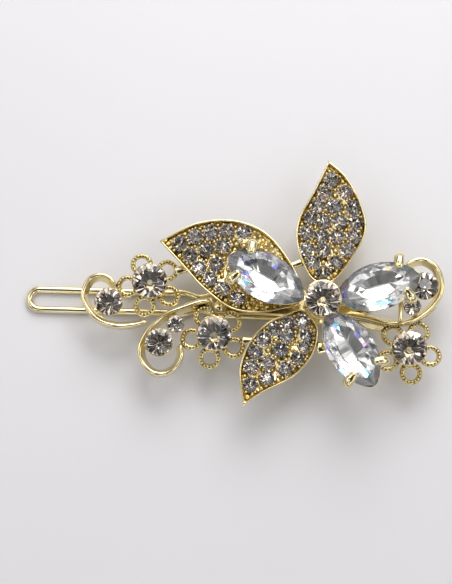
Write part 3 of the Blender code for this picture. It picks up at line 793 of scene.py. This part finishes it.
def tongue():
    """One spring wire bent into a long hairpin, with its two ends turned in at the hinge."""
    bend = 0.7
    half = [Vector((HINGE_X, PINTLE_END_Y + 0.1, HINGE_Z)), Vector((HINGE_X, 0.9, HINGE_Z))]
    half += [Vector((HINGE_X - bend + bend * math.cos(a), REAR_LEG_Y - bend + bend * math.sin(a), HINGE_Z))
             for a in (0.0, 0.4, 0.8, 1.2, math.pi / 2)]
    rear = [(17.5, REAR_LEG_Y, 1.3), (14.5, REAR_LEG_Y, 0.8), (12.0, REAR_LEG_Y, WIRE_RADIUS)]
    legs = [(5.0, REAR_LEG_Y), (-1.0, 1.9), (-3.0, 1.75), (-4.6, 1.35), (-5.9, 1.1), (-7.2, 1.4),
            (-8.8, 1.85), (-11.5, LEG_Y), (-22.0, LEG_Y), (TIP_X + LEG_Y, LEG_Y)]
    half += smooth_path([half[-1]] + [Vector(p) for p in rear]
                        + [lifted(p, WIRE_RADIUS) for p in legs], 6)[1:]
    tip_turns = 12
    half += [Vector((TIP_X + LEG_Y + LEG_Y * math.cos(a), LEG_Y * math.sin(a), WIRE_RADIUS))
             for a in (math.pi / 2 * (1 + step / tip_turns) for step in range(1, tip_turns))]
    for point in half:
        point.z = max(point.z, WIRE_RADIUS)
    route = half + [Vector((TIP_X, 0, WIRE_RADIUS))] + [Vector((p.x, -p.y, p.z)) for p in reversed(half)]
    bm = bmesh.new()
    tube(bm, route, WIRE_RADIUS, 20)
    metal_piece("tongue", bm, "spring_wire", ["tongue_wire"], body="tongue")


def strip_half_width(x):
    for (start, first), (end, second) in zip(STRIP_WIDTHS, STRIP_WIDTHS[1:]):
        if start <= x <= end:
            t = (x - start) / (end - start)
            return first + (second - first) * t * t * (3 - 2 * t)
    return STRIP_WIDTHS[0][1]


def strip():
    """The pressed strip, its front end bent down as the catch and its rear end curled round the hinge."""
    side = smooth_path([(CATCH_X, CATCH_BOTTOM_Z), (CATCH_X, 2.6), (CATCH_X + 0.2, 3.25),
                        (CATCH_X + 0.8, STRIP_LEVEL)], 4)
    flat_steps = 60
    start = side[-1].x
    side += [Vector((start + (HINGE_X - start) * i / flat_steps, STRIP_LEVEL)) for i in range(1, flat_steps)]
    curl = STRIP_LEVEL - HINGE_Z
    curl_turn = 290
    curl_steps = 30
    side += [Vector((HINGE_X + curl * math.cos(a), HINGE_Z + curl * math.sin(a)))
             for a in (math.radians(90 - curl_turn * i / curl_steps) for i in range(curl_steps + 1))]
    rings = []
    half = STRIP_THICKNESS / 2
    ease = 0.12
    knuckle = 1.1
    for point, along in zip(side, tangents(side)):
        out = Vector((-along.y, along.x))
        wide = strip_half_width(point.x)
        if point is side[0] or point.x >= HINGE_X - 0.01:
            wide = min(wide, knuckle)
        corners = [(-wide + ease, half), (wide - ease, half), (wide, half - ease), (wide, ease - half),
                   (wide - ease, -half), (ease - wide, -half), (-wide, ease - half), (-wide, half - ease)]
        rings.append([Vector((point.x + out.x * up, across, point.y + out.y * up)) for across, up in corners])
    bm = bmesh.new()
    loft(bm, rings)
    metal_piece("strip", bm, "pressed_strip", ["clip_strip"], crease=30)


def hub():
    """The turned post under the flower: a broad foot on the strip, a drum, and a neck for the centre cup."""
    profile = [(0.05, 0), (2.85, 0), (3.0, 0.12), (3.0, 1.0), (2.85, 1.2), (HUB_RADIUS + 0.1, 1.36),
               (HUB_RADIUS, 1.5), (HUB_RADIUS, 3.2), (HUB_RADIUS - 0.12, 3.42), (1.72, 3.75), (1.6, 3.9),
               (1.5, 4.5), (1.4, 4.6), (0.05, 4.6)]
    bm = bmesh.new()
    turned(bm, profile, HUB, HUB_BASE_Z, 48)
    metal_piece("hub_post", bm, "setting_gold", ["flower_hub"])


def floret(name, seed):
    """A rosette of five beaded rings, with a stone in a cup at its middle."""
    centre, first_angle = FLORETS[name]
    bm = bmesh.new()
    turned(bm, DISC_PROFILE, centre, RING_Z, 40)
    around = 32
    spokes = [Vector((math.cos(math.tau * i / around), math.sin(math.tau * i / around), 0))
              for i in range(around)]
    for index in range(FLORET_RINGS):
        angle = math.radians(first_angle + 360 / FLORET_RINGS * index)
        ring_centre = Vector((centre[0] + RING_ORBIT * math.cos(angle),
                              centre[1] + RING_ORBIT * math.sin(angle), RING_Z))
        tube(bm, [ring_centre + spoke * RING_RADIUS for spoke in spokes], RING_WIRE_RADIUS, 10,
             closed=True, flat=RING_FLATNESS)
        places = []
        for grain in range(RING_BEADS):
            turn = angle + math.tau * grain / RING_BEADS
            spoke = Vector((math.cos(turn), math.sin(turn), 0))
            places.append(ring_centre + spoke * (RING_RADIUS + 0.02) + UP * RING_BEAD_RISE)
        beads(bm, places, RING_BEAD_RADIUS)
    places = []
    for grain in range(DISC_BEADS):
        turn = math.tau * grain / DISC_BEADS
        places.append(Vector((centre[0] + DISC_BEAD_ORBIT * math.cos(turn),
                              centre[1] + DISC_BEAD_ORBIT * math.sin(turn), RING_Z + DISC_BEAD_RISE)))
    beads(bm, places, DISC_BEAD_RADIUS)
    metal_piece(f"floret_{name}_rings", bm, "milgrain_gold", [f"floret_{name}_rosette"], crease=45)
    stone_cup(f"floret_{name}_seat", centre, RING_Z + 0.35, FLORET_GIRDLE_Z, FLORET_STONE_RADIUS, 0.02,
              f"floret_{name}_cup")
    round_stone(f"floret_{name}_chaton", centre, FLORET_GIRDLE_Z + 0.05, FLORET_STONE_RADIUS,
                f"floret_{name}_stone", seed)


def scroll(name):
    """A cast band curled round its stones, broadest in its middle and narrowing to rounded ends."""
    path = smooth_path(SCROLL_PATHS[name], 8)
    rings = []
    count = len(path)
    for index, (point, along) in enumerate(zip(path, tangents(path))):
        left = Vector((-along.y, along.x))
        from_end = min(index, count - 1 - index)
        size = (0.35, 0.72, 0.9)[from_end] if from_end < 3 else 1.0
        swell = BAND_BREADTH + BAND_SWELL * math.sin(math.pi * index / (count - 1))
        rings.append([lifted(point + left * across * size * swell,
                             SPRAY_Z + 0.05 * (1 - size) + up * (0.6 + 0.4 * size))
                      for across, up in BAND_SECTION])
    bm = bmesh.new()
    loft(bm, rings)
    if name in BEADED_EDGES:
        first, last, across, up = BEADED_EDGES[name]
        run = [lifted(point, 0) for point in path[int(first * count):int(last * count)]]
        places = []
        for point, along in along_path(run, EDGE_BEAD_SPACING):
            left = Vector((-along.y, along.x, 0))
            places.append(point + left * across * BEADED_BREADTH + UP * (SPRAY_Z + up))
        beads(bm, places, EDGE_BEAD_RADIUS)
    metal_piece(f"scroll_{name}_band", bm, "scroll_gold", [f"scroll_{name}"], crease=38)


def squared(part):
    """A cosine or sine pushed outwards, so that a link's section is a little squarer than an ellipse."""
    return math.copysign(abs(part) ** LINK_ROUNDNESS, part)


def link(name):
    """A short cast link, waisted between its two soldered ends."""
    start, end, width, bottom, top = LINKS[name]
    start, end = Vector(start), Vector(end)
    along = (end - start).normalized()
    start, end = start - along * LINK_OVERRUN, end + along * LINK_OVERRUN
    side = Vector((-along.y, along.x))
    rings = []
    stations = 14
    corners = 16
    middle, half = (bottom + top) / 2, (top - bottom) / 2
    for index in range(stations + 1):
        t = index / stations
        point = start.lerp(end, t)
        waist = 1 - LINK_WAIST * math.sin(math.pi * t)
        tuck = min(1.0, 1 - LINK_TUCK + LINK_TUCK * min(t, 1 - t) * stations)
        ring = []
        for corner in range(corners):
            angle = math.tau * corner / corners
            across = squared(math.cos(angle)) * width * LINK_BREADTH * waist * tuck
            up = squared(math.sin(angle)) * half * tuck
            ring.append(lifted(point + side * across, middle + up))
        rings.append(ring)
    bm = bmesh.new()
    loft(bm, rings)
    metal_piece(f"{name}_cast", bm, "setting_gold", [name], crease=50)


def web():
    """The thin plate between the right scroll's stem and its floret, with eased edges."""
    outline = smooth_path([*[Vector(p) for p in STEM_WEB], Vector(STEM_WEB[0])], 6)[:-1]
    if signed_area(outline) < 0:
        outline = list(reversed(outline))
    levels = [(0.12, 4.8), (0.0, 4.9), (0.0, 5.28), (0.12, 5.4)]
    bm = bmesh.new()
    loft(bm, [[lifted(point, z) for point in inset(outline, distance)] for distance, z in levels])
    metal_piece("stem_web", bm, "scroll_gold", ["web_right_scroll"])


def build():
    tongue()
    strip()
    hub()
    for number, side in enumerate(PETAL_OUTLINES):
        petal(side, 11 + number)
    for number, side in enumerate(CRYSTALS):
        crystal_setting(side)
        crystal(side, 31 + number)
    stone_cup("centre_seat", HUB, CENTRE_CUP_Z, CENTRE_GIRDLE_Z, FLORET_STONE_RADIUS, 0.1, "centre_cup")
    round_stone("centre_chaton", HUB, CENTRE_GIRDLE_Z, FLORET_STONE_RADIUS, "centre_stone", 41)
    for number, name in enumerate(FLORETS):
        floret(name, 51 + number)
    for name in SCROLL_PATHS:
        scroll(name)
    for number, (name, (centre, radius)) in enumerate(SCROLL_STONES.items()):
        stone_cup(f"scroll_{name}_seat", centre, SPRAY_Z, SMALL_GIRDLE_Z, radius, 0.02, f"scroll_{name}_cup")
        round_stone(f"scroll_{name}_chaton", centre, SMALL_GIRDLE_Z + 0.05, radius, f"scroll_{name}_stone",
                    61 + number)
    for name in LINKS:
        link(name)
    web()


# ---------------------------------------------------------------- studio

# Where the dark opening overhead lies, how bright the room is from a right angle to it or more (0) up to the
# opening itself (1), and how panels and drapes change that.
OPENING = (0.0, -0.2, 0.98)
ROOM_LEVELS = [(0.0, 0.8), (0.14, 0.75), (0.26, 0.3), (0.45, 0.5), (0.6, 1.4), (0.87, 1.4), (0.925, 0.12),
               (1.0, 0.06)]
PANEL_LEVELS = [(0.0, 0.12), (0.44, 0.15), (0.48, 1.0), (0.6, 1.0)]
PANEL_SCALE = 4.0
BOARD_COLOURS = ((0.75, 0.74, 0.755), (0.735, 0.725, 0.74))
BOARD_HALF_WIDTH = 3.0

# Softboxes: azimuth, elevation, distance, size, power and, for the key, its colour.
LAMPS = {
    "key": (8, 42, 0.38, 0.26, 0.95, (1.0, 0.985, 0.99)),
    "left_fill": (-75, 40, 0.7, 0.25, 0.2),
    "right_fill": (80, 45, 0.7, 0.2, 0.2),
}
# Small far lamps that make the stones glitter: azimuth and elevation.
SPARKLES = [(20, 72), (120, 68), (215, 70), (300, 66), (160, 50), (250, 48)]


def floor():
    """A wide sheet of smooth white board."""
    material, nodes, links = new_material("white_board")
    shader = nodes["Principled BSDF"]
    tint = spread(nodes, links, noise(nodes, links, BOARD_DRIFT), 0, 1)
    colour = blend_colours(nodes, links, tint, *BOARD_COLOURS)
    links.new(colour, shader.inputs["Base Color"])
    links.new(spread(nodes, links, noise(nodes, links, BOARD_GRAIN, 4), 0.4, 0.5), shader.inputs["Roughness"])
    shader.inputs["Specular IOR Level"].default_value = 0.35
    bm = bmesh.new()
    bmesh.ops.create_grid(bm, x_segments=8, y_segments=8, size=BOARD_HALF_WIDTH)
    mesh = bpy.data.meshes.new("board")
    bm.to_mesh(mesh)
    bm.free()
    mesh.materials.append(material)
    board = bpy.data.objects.new("board", mesh)
    bpy.context.scene.collection.objects.link(board)


def lamp(name, azimuth, elevation, distance, size, power, colour=(1, 1, 1)):
    """A square softbox aimed at the clip, by its direction above the floor."""
    data = bpy.data.lights.new(name, "AREA")
    data.shape = "SQUARE"
    data.size = size
    data.energy = power
    data.color = colour
    obj = bpy.data.objects.new(name, data)
    a, e = math.radians(azimuth), math.radians(elevation)
    away = Vector((math.sin(a) * math.cos(e), math.cos(a) * math.cos(e), math.sin(e)))
    obj.location = away * distance
    obj.rotation_euler = away.to_track_quat("Z", "Y").to_euler()
    bpy.context.scene.collection.objects.link(obj)


def ramp_of(nodes, links, value, stops):
    """A grey level that runs through the given stops as `value` goes from 0 to 1."""
    ramp = nodes.new("ShaderNodeValToRGB")
    elements = ramp.color_ramp.elements
    while len(elements) < len(stops):
        elements.new(0.5)
    for element, (place, level) in zip(elements, stops):
        element.position = place
        element.color = (level, level, level, 1)
    links.new(value, ramp.inputs["Fac"])
    return ramp.outputs["Color"]


def surroundings():
    """A pale room low down, a ring of light panels and dark drapes above it, and a dark opening overhead, for
    the metal and stones to mirror."""
    world = bpy.data.worlds.new("studio")
    bpy.context.scene.world = world
    world.use_nodes = True
    nodes, links = world.node_tree.nodes, world.node_tree.links
    place = nodes.new("ShaderNodeTexCoord")
    overhead = nodes.new("ShaderNodeVectorMath")
    overhead.operation = "DOT_PRODUCT"
    overhead.inputs[1].default_value = OPENING
    links.new(place.outputs["Generated"], overhead.inputs[0])
    level = ramp_of(nodes, links, overhead.outputs["Value"], ROOM_LEVELS)
    panels = nodes.new("ShaderNodeTexNoise")
    panels.inputs["Scale"].default_value = PANEL_SCALE
    panels.inputs["Detail"].default_value = 1.0
    links.new(place.outputs["Generated"], panels.inputs["Vector"])
    panel = ramp_of(nodes, links, panels.outputs["Fac"], PANEL_LEVELS)
    mix = nodes.new("ShaderNodeMix")
    mix.data_type = "RGBA"
    mix.blend_type = "MULTIPLY"
    mix.inputs["Factor"].default_value = 1
    links.new(level, mix.inputs[6])
    links.new(panel, mix.inputs[7])
    links.new(mix.outputs[2], nodes["Background"].inputs["Color"])
    nodes["Background"].inputs["Strength"].default_value = 1.0


def studio():
    floor()
    surroundings()
    for name, settings in LAMPS.items():
        lamp(name, *settings)
    for number, (azimuth, elevation) in enumerate(SPARKLES):
        lamp(f"sparkle_{number + 1}", azimuth, elevation, 0.7, 0.06, 0.06)


def camera():
    """High in front of the clip, as it was photographed."""
    target = Vector((-1.27, -2.2, 8.0)) * MM
    azimuth, elevation, distance = math.radians(1.7), math.radians(76), 0.4
    back = Vector((math.sin(azimuth) * math.cos(elevation), -math.cos(azimuth) * math.cos(elevation),
                   math.sin(elevation)))
    data = bpy.data.cameras.new("camera")
    data.sensor_width = 36
    data.lens = 146.8
    data.clip_start = 0.01
    data.clip_end = 20
    obj = bpy.data.objects.new("camera", data)
    obj.location = target + back * distance
    obj.rotation_euler = (-back).to_track_quat("-Z", "Y").to_euler()
    bpy.context.scene.collection.objects.link(obj)
    bpy.context.scene.camera = obj


build()
studio()
camera()
bpy.context.scene.view_settings.view_transform = "Standard"
bpy.context.view_layer.update()
